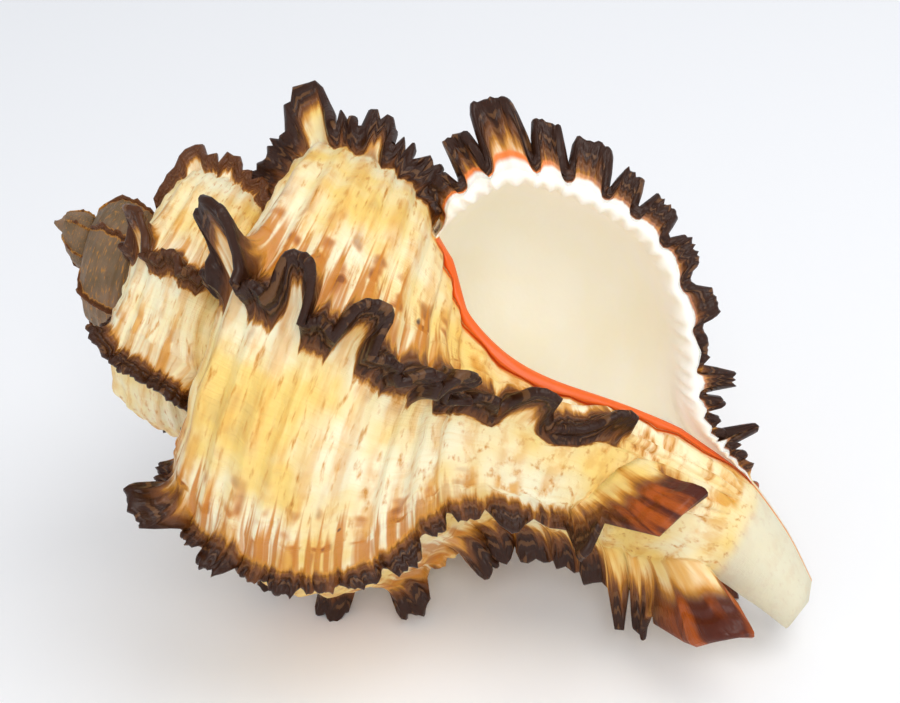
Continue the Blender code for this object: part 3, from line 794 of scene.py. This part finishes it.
def shell_material():
    material = bpy.data.materials.new("shell_surface")
    material.use_nodes = True
    tree = material.node_tree
    shader = tree.nodes["Principled BSDF"]
    n = Nodes(tree)
    turn, phase, age = n.mark("turn"), n.mark("phase"), n.mark("age")
    since, before, rise = n.mark("since"), n.mark("before"), n.mark("rise")
    inside, ribbon, edge = n.mark("inside"), n.mark("ribbon"), n.mark("edge")
    place_mm = n.new("ShaderNodeTexCoord").outputs["Object"]

    def grown(turn_scale, phase_scale, seed, detail):
        """Noise over the growth degrees and the cord phase."""
        spot = n.vector(n.math("MULTIPLY", turn, turn_scale), n.math("MULTIPLY", phase, phase_scale), seed)
        return n.noise(spot, 1.0, detail)

    # Noise that runs along the spiral cords, across them, and evenly
    along = grown(0.05, 1.9, 0.0, 4.0)
    along_fine = grown(0.13, 4.5, 3.0, 4.0)
    across = grown(0.34, 0.5, 7.0, 3.0)
    blots = grown(0.15, 1.3, 9.0, 1.0)
    cloud = n.noise(place_mm, 95.0, 3.0)
    grain = n.noise(place_mm, 1400.0, 2.0)
    stripe = n.math("MULTIPLY_ADD", n.math("COSINE", n.math("MULTIPLY", phase, 2.0 * math.pi)), 0.5, 0.5)

    ground = n.mix(n.step(cloud, 0.35, 0.65), colour(254, 244, 208), colour(250, 214, 120))
    ground = n.mix(n.math("MULTIPLY", n.step(across, 0.5, 0.75), 0.3), ground, colour(240, 200, 110))

    # Orange-brown spots in rows on the cords, strongest where they meet a frill
    near_frill = n.math("ADD", n.step(before, 22.0, 2.0), n.math("MULTIPLY", n.step(since, 9.0, 0.0), 0.5))
    on_cord = n.step(stripe, 0.15, 0.75)
    streak = n.math("MULTIPLY", n.step(along, 0.42, 0.60), n.math("MULTIPLY_ADD", near_frill, 0.5, 0.5))
    streak = n.math("MULTIPLY", streak, on_cord)
    ground = n.mix(n.math("MULTIPLY", streak, 0.85), ground, colour(228, 160, 44))
    spots = n.math("MULTIPLY", n.step(blots, 0.46, 0.62), n.math("MULTIPLY_ADD", near_frill, 0.85, 0.15))
    young = n.math("MULTIPLY_ADD", n.step(age, 1.2, 1.5), -0.75, 1.0)
    body_share = n.math("MULTIPLY", n.step(phase, 12.5, 8.5), young)
    spots = n.math("MULTIPLY", spots, n.math("MULTIPLY", on_cord, body_share))
    ground = n.mix(n.math("MULTIPLY", spots, 0.9), ground, colour(208, 120, 14))
    core = n.math("MULTIPLY", n.step(blots, 0.54, 0.72), n.math("MULTIPLY", near_frill, on_cord))
    core = n.math("MULTIPLY", core, body_share)
    ground = n.mix(n.math("MULTIPLY", core, 0.85), ground, colour(126, 62, 8))

    # Brown lines of uneven length run from a frill up the edges of the cords
    lines = n.math("MULTIPLY_ADD", grown(0.012, 4.2, 5.0, 2.0), -84.0, n.math("ADD", before, 39.0))
    stain = n.math("MULTIPLY", n.step(lines, 4.0, -8.0), body_share)
    ground = n.mix(n.math("MULTIPLY", stain, 0.9), ground, colour(206, 124, 12))

    # A few grey-brown clouds and small dark dots
    patch = n.math("MULTIPLY", n.step(cloud, 0.62, 0.75), 0.35)
    ground = n.mix(patch, ground, colour(176, 140, 104))
    dots = n.step(n.noise(place_mm, 430.0, 0.0), 0.84, 0.87)
    ground = n.mix(dots, ground, colour(90, 62, 46))

    # The spire is older, greyer and more worn
    old = n.step(age, 2.0, 2.6)
    ground = n.mix(n.math("MULTIPLY", old, 0.92), ground,
                   n.mix(n.step(cloud, 0.4, 0.6), colour(140, 104, 78), colour(84, 60, 44)))

    # The frills darken from the foot to the rim, in streaks
    height = n.math("ADD", rise, n.math("MULTIPLY_ADD", along_fine, 1.5, -0.75))
    frill = n.mix(n.step(height, 0.04, 0.38), ground, colour(212, 142, 40))
    frill = n.mix(n.step(height, 0.24, 0.62), frill, colour(118, 66, 20))
    deepest = n.mix(n.step(age, 1.6, 2.0), colour(52, 25, 10), colour(96, 54, 24))
    frill = n.mix(n.step(height, 0.54, 1.0), frill, deepest)

    # Thin paler layers run along the rim of a frill
    layers = n.math("SINE", n.math("MULTIPLY_ADD", rise, 19.0, n.math("MULTIPLY", along_fine, 14.0)))
    ridges = n.step(n.math("MULTIPLY", n.step(layers, 0.1, 0.9), n.step(along_fine, 0.40, 0.62)), 0.2, 0.8)
    ridges = n.math("MULTIPLY", ridges, n.step(rise, 0.2, 0.5))
    frill = n.mix(n.math("MULTIPLY", ridges, 0.4), frill, colour(142, 98, 58))

    # The fronds by the canal are amber, and the canal is bare
    frond = n.mark("frond")
    amber = n.mix(n.step(along_fine, 0.4, 0.62), colour(84, 32, 14), colour(176, 84, 24))
    frill = n.mix(n.math("MULTIPLY", frond, n.step(rise, 0.25, 0.7)), frill, amber)
    body = n.mix(n.math("MULTIPLY", n.step(phase, 17.45, 18.0), 0.85), frill, colour(232, 226, 200))

    # The mouth is white, with an orange inner lip and a thin orange line outside the outer lip
    lining = n.mix(n.step(cloud, 0.3, 0.7), colour(254, 252, 244), colour(250, 244, 228))
    within = n.step(inside, 0.2, 0.8)
    body = n.mix(within, body, lining)
    body = n.mix(n.step(ribbon, 0.10, 0.40), body, colour(250, 190, 96))
    band = n.step(ribbon, 0.50, 0.72)
    body = n.mix(band, body, colour(238, 100, 24))
    margin = n.math("MULTIPLY", n.step(edge, 0.02, 0.25), n.step(inside, 0.3, 0.0))
    shoulder = n.step(phase, 3.6, 2.4)
    body = n.mix(n.math("MULTIPLY", margin, n.math("MULTIPLY_ADD", shoulder, 0.6, 0.4)), body,
                 n.mix(shoulder, colour(238, 160, 120), colour(244, 132, 56)))
    shader_colour = n.mix(n.step(edge, 0.35, 0.8), body, colour(252, 248, 238))
    n.feed(shader.inputs["Base Color"], shader_colour)

    # Painted light: the inside of the mouth, except its orange band, glows faintly. The glow brightens it
    # in place of the light that the thin wall lets through
    shader.inputs["Emission Color"].default_value = colour(255, 244, 220)
    painted_glow = n.math("SUBTRACT", within, band, clamp=True)
    n.feed(shader.inputs["Emission Strength"], n.math("MULTIPLY", painted_glow, 0.10))

    dark = n.step(height, 0.4, 0.9)
    gloss = n.math("MULTIPLY_ADD", dark, -0.12, 0.42)
    gloss = n.math("MULTIPLY_ADD", grain, 0.12, gloss)
    n.feed(shader.inputs["Roughness"], n.math("MULTIPLY_ADD", within, -0.12, gloss))
    n.feed(shader.inputs["Specular IOR Level"], n.math("MULTIPLY_ADD", dark, -0.2, 0.5))
    shader.inputs["Subsurface Weight"].default_value = 0.12
    shader.inputs["Subsurface Radius"].default_value = (0.0022, 0.0014, 0.0008)
    shader.inputs["Subsurface Scale"].default_value = 1.0

    outside = n.step(inside, 0.8, 0.2)
    growth_lines = grown(1.6, 0.35, 1.0, 3.0)
    threads = grown(0.08, 11.0, 2.0, 2.0)
    relief = n.math("ADD", n.math("MULTIPLY", growth_lines, 0.5), n.math("MULTIPLY", threads, 0.4))
    relief = n.math("MULTIPLY_ADD", n.math("MULTIPLY", layers, n.step(rise, 0.15, 0.5)), 0.35, relief)
    relief = n.math("MULTIPLY", relief, outside)
    relief = n.math("MULTIPLY_ADD", grain, 0.18, relief)
    bump = n.new("ShaderNodeBump")
    bump.inputs["Strength"].default_value = 0.55
    bump.inputs["Distance"].default_value = 0.00035
    n.feed(bump.inputs["Height"], relief)
    n.feed(shader.inputs["Normal"], bump.outputs[0])
    return material


def make_floor():
    bpy.ops.mesh.primitive_plane_add(size=3.0, location=(0.0, 0.6, 0.0))
    floor = bpy.context.object
    floor.name = "floor"
    material = bpy.data.materials.new("floor")
    material.use_nodes = True
    shader = material.node_tree.nodes["Principled BSDF"]
    shader.inputs["Base Color"].default_value = colour(251, 252, 255)
    shader.inputs["Roughness"].default_value = 0.75
    floor.data.materials.append(material)


def area_light(name, location, target, size, power, tint):
    light = bpy.data.lights.new(name, "AREA")
    light.shape = "DISK"
    light.size = size
    light.energy = power
    light.color = tint
    lamp = bpy.data.objects.new(name, light)
    bpy.context.scene.collection.objects.link(lamp)
    lamp.location = location
    lamp.rotation_euler = (Vector(target) - Vector(location)).to_track_quat("-Z", "Y").to_euler()


def make_light():
    world = bpy.data.worlds.new("studio")
    bpy.context.scene.world = world
    world.use_nodes = True
    background = world.node_tree.nodes["Background"]
    background.inputs["Color"].default_value = (0.93, 0.96, 1.0, 1.0)
    background.inputs["Strength"].default_value = 0.62
    area_light("window", (0.22, -0.10, 0.50), (0.0, 0.0, 0.02), 0.40, 1.0, (1.0, 0.98, 0.95))
    area_light("front", (0.02, -0.45, 0.42), (0.0, 0.0, 0.02), 0.30, 1.1, (1.0, 0.99, 0.97))


# The camera, in the world's millimetres and degrees: it looks down at the mouth's side
CAMERA_PLACE = (1.927, -154.446, 132.45)
CAMERA_TURN = (55.665, 4.831, -3.280)
CAMERA_LENS = 71.368


def make_camera():
    data = bpy.data.cameras.new("camera")
    camera = bpy.data.objects.new("camera", data)
    bpy.context.scene.collection.objects.link(camera)
    camera.location = Vector(CAMERA_PLACE) * MM
    camera.rotation_euler = [math.radians(a) for a in CAMERA_TURN]
    data.lens = CAMERA_LENS
    data.clip_start = 0.01
    bpy.context.scene.camera = camera


make_camera()
make_floor()
make_light()
shell = make_shell(shell_material())
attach(shell, "root")
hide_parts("shell")
bpy.context.scene.view_settings.view_transform = "Standard"
